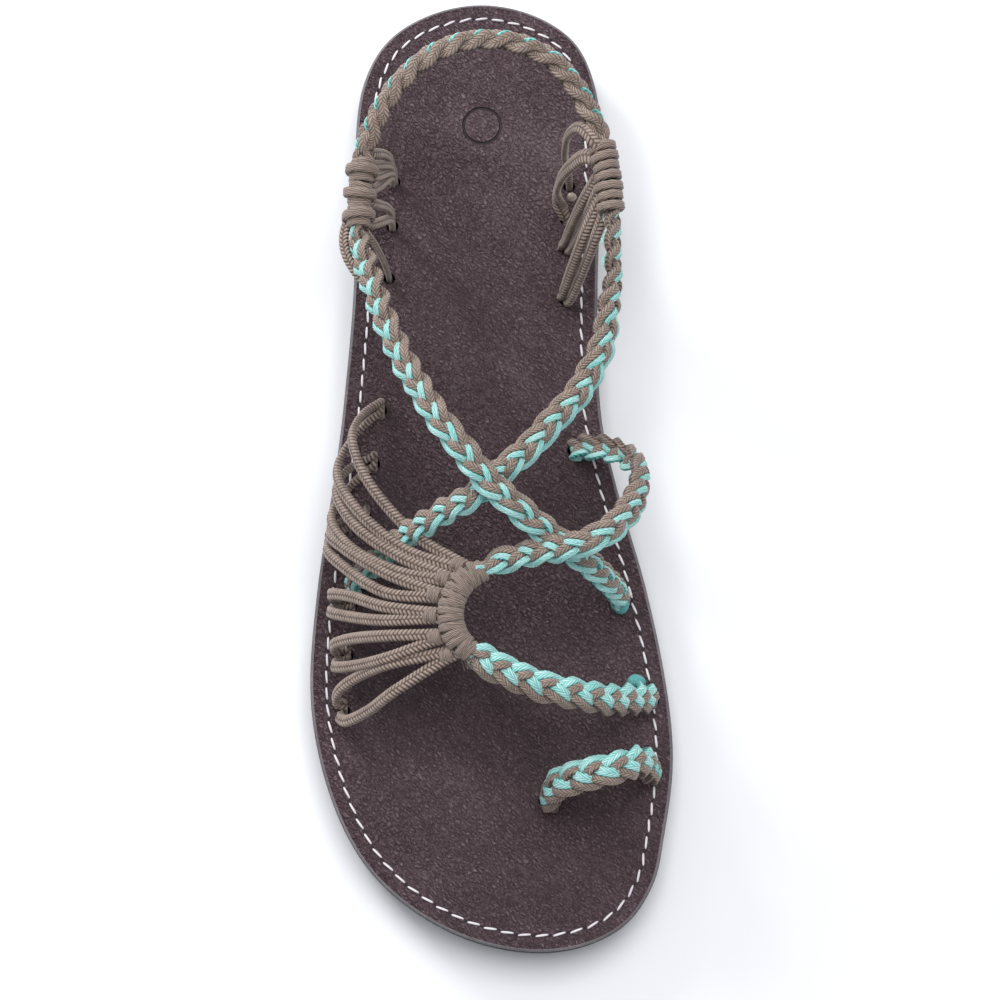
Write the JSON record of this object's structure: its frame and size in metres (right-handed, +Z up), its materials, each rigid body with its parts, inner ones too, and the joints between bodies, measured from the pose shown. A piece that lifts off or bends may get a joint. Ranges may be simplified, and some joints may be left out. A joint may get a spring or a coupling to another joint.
{
  "type": "flat strappy sandal",
  "caption": "Right flat sandal: leather-look footbed on a rubber sole, with plaited cord straps, a toe loop, a side fan of cords and a heel sling.",
  "frame": {"origin": "bottom centre of the bounding box, on the floor under the middle of the sole", "axes": "+Y towards the heel, -Y towards the toe, +X towards the big-toe side, +Z up"},
  "size_m": [0.0918, 0.252, 0.0618],
  "materials": {
    "outsole_rubber": "moulded matt black rubber",
    "midsole_foam": "matt black foam rubber",
    "footbed_leather": "pebbled plum-brown synthetic leather with a soft gloss",
    "cord_turquoise": "braided polyester cord",
    "cord_brown": "braided polyester cord"
  },
  "bodies": {
    "root": {"outsole": "outsole_rubber", "midsole": "midsole_foam", "footbed": "footbed_leather", "toe_loop": "cord_turquoise", "upper": "cord_brown", "heel_strap": "cord_brown", "knot_lateral": "cord_brown", "knot_medial": "cord_brown"}
  },
  "joints": []
}
